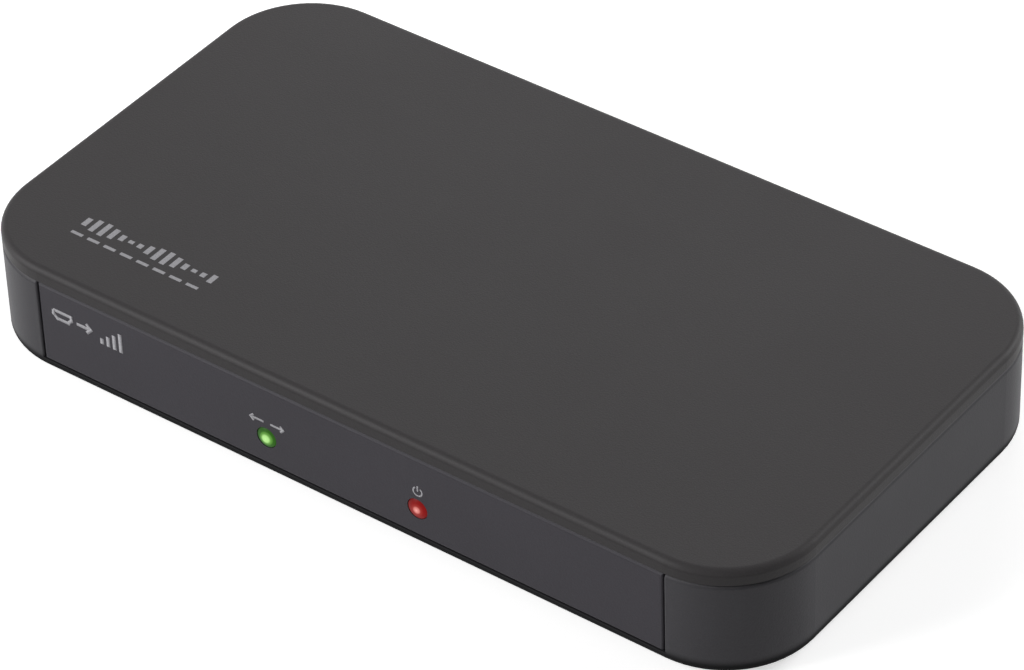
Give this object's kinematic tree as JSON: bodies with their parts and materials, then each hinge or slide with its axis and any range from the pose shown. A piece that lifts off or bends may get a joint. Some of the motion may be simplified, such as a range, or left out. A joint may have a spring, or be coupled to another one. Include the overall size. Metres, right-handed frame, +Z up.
{
  "type": "hdmi audio extractor",
  "caption": "Flat rounded grey box that passes a video signal through and splits its sound to optical and analogue sockets at the rear, with two status lamps on its front panel.",
  "frame": {"origin": "centre of the footprint, on the surface that the feet stand on", "axes": "+X along the front to the right as seen from the front, +Y from front to rear, +Z up"},
  "size_m": [0.125, 0.0704, 0.0176],
  "materials": {
    "case_plastic": "fine matt moulded texture",
    "foot_rubber": "matt",
    "zinc_screw_steel": "zinc plated",
    "circuit_board": "solder mask",
    "nickel_shell": "nickel plated",
    "socket_plastic": "moulded",
    "contact_gold": "gold plated",
    "tinned_lead": "tinned",
    "bright_pin": "bright",
    "emitter_plastic": "clear tinted",
    "knob_plastic": "moulded",
    "red_lamp": "diffused and lit red",
    "green_lamp": "diffused and lit green",
    "lamp_holder_plastic": "moulded",
    "chip_epoxy": "moulded epoxy",
    "thermal_pad": "soft",
    "heatsink_aluminium": "extruded",
    "inductor_ferrite": "pressed ferrite",
    "capacitor_can": "drawn can",
    "crystal_can": "drawn can",
    "capacitor_ceramic": "fired ceramic",
    "resistor_body": "fired ceramic with a dark film"
  },
  "bodies": {
    "case": {"bottom_shell": "case_plastic", "top_cover": "case_plastic", "front_panel": "case_plastic", "rear_panel": "case_plastic", "rubber_feet": "foot_rubber", "case_screws": "zinc_screw_steel", "board_screws": "zinc_screw_steel", "main_board": "circuit_board", "hdmi_in_shell": "nickel_shell", "hdmi_out_shell": "nickel_shell", "mode_switch_case": "nickel_shell", "audio_jack_bushing": "nickel_shell", "hdmi_in_insulator": "socket_plastic", "hdmi_out_insulator": "socket_plastic", "audio_jack_housing": "socket_plastic", "power_jack_housing": "socket_plastic", "optical_housing": "socket_plastic", "mode_switch_base": "socket_plastic", "hdmi_in_contacts": "contact_gold", "hdmi_out_contacts": "contact_gold", "audio_jack_contacts": "contact_gold", "led_leads": "tinned_lead", "mode_switch_terminals": "tinned_lead", "power_jack_contact": "tinned_lead", "power_jack_pin": "bright_pin", "optical_shutter_pin": "bright_pin", "optical_emitter": "emitter_plastic", "power_led": "red_lamp", "link_led": "green_lamp", "led_holders": "lamp_holder_plastic", "hdmi_processor_chip": "chip_epoxy", "microcontroller_chip": "chip_epoxy", "flash_chip": "chip_epoxy", "audio_dac_chip": "chip_epoxy", "voltage_regulator": "chip_epoxy", "surge_protection_chips": "chip_epoxy", "thermal_pad": "thermal_pad", "processor_heatsink": "heatsink_aluminium", "power_inductors": "inductor_ferrite", "electrolytic_capacitors": "capacitor_can", "clock_crystals": "crystal_can", "chip_capacitors": "capacitor_ceramic", "chip_resistors": "resistor_body"},
    "switch_knob": {"mode_switch_knob": "knob_plastic", "mode_switch_wiper": "contact_gold"},
    "port_shutter": {"optical_shutter": "socket_plastic", "optical_shutter_spring": "bright_pin"}
  },
  "joints": [
    {"name": "mode_switch_slide", "type": "slide", "parent": "case", "child": "switch_knob", "axis": [1, 0, 0], "range_m": [-0.002, 0.002]},
    {"name": "optical_shutter_hinge", "type": "hinge", "parent": "case", "child": "port_shutter", "pos_m": [-0.02702, 0.0331, 0.0117], "axis": [-1, 0, 0], "range_deg": [0, 85], "stiffness_Nm_per_rad": 0.00002, "springref_deg": -20.05}
  ]
}
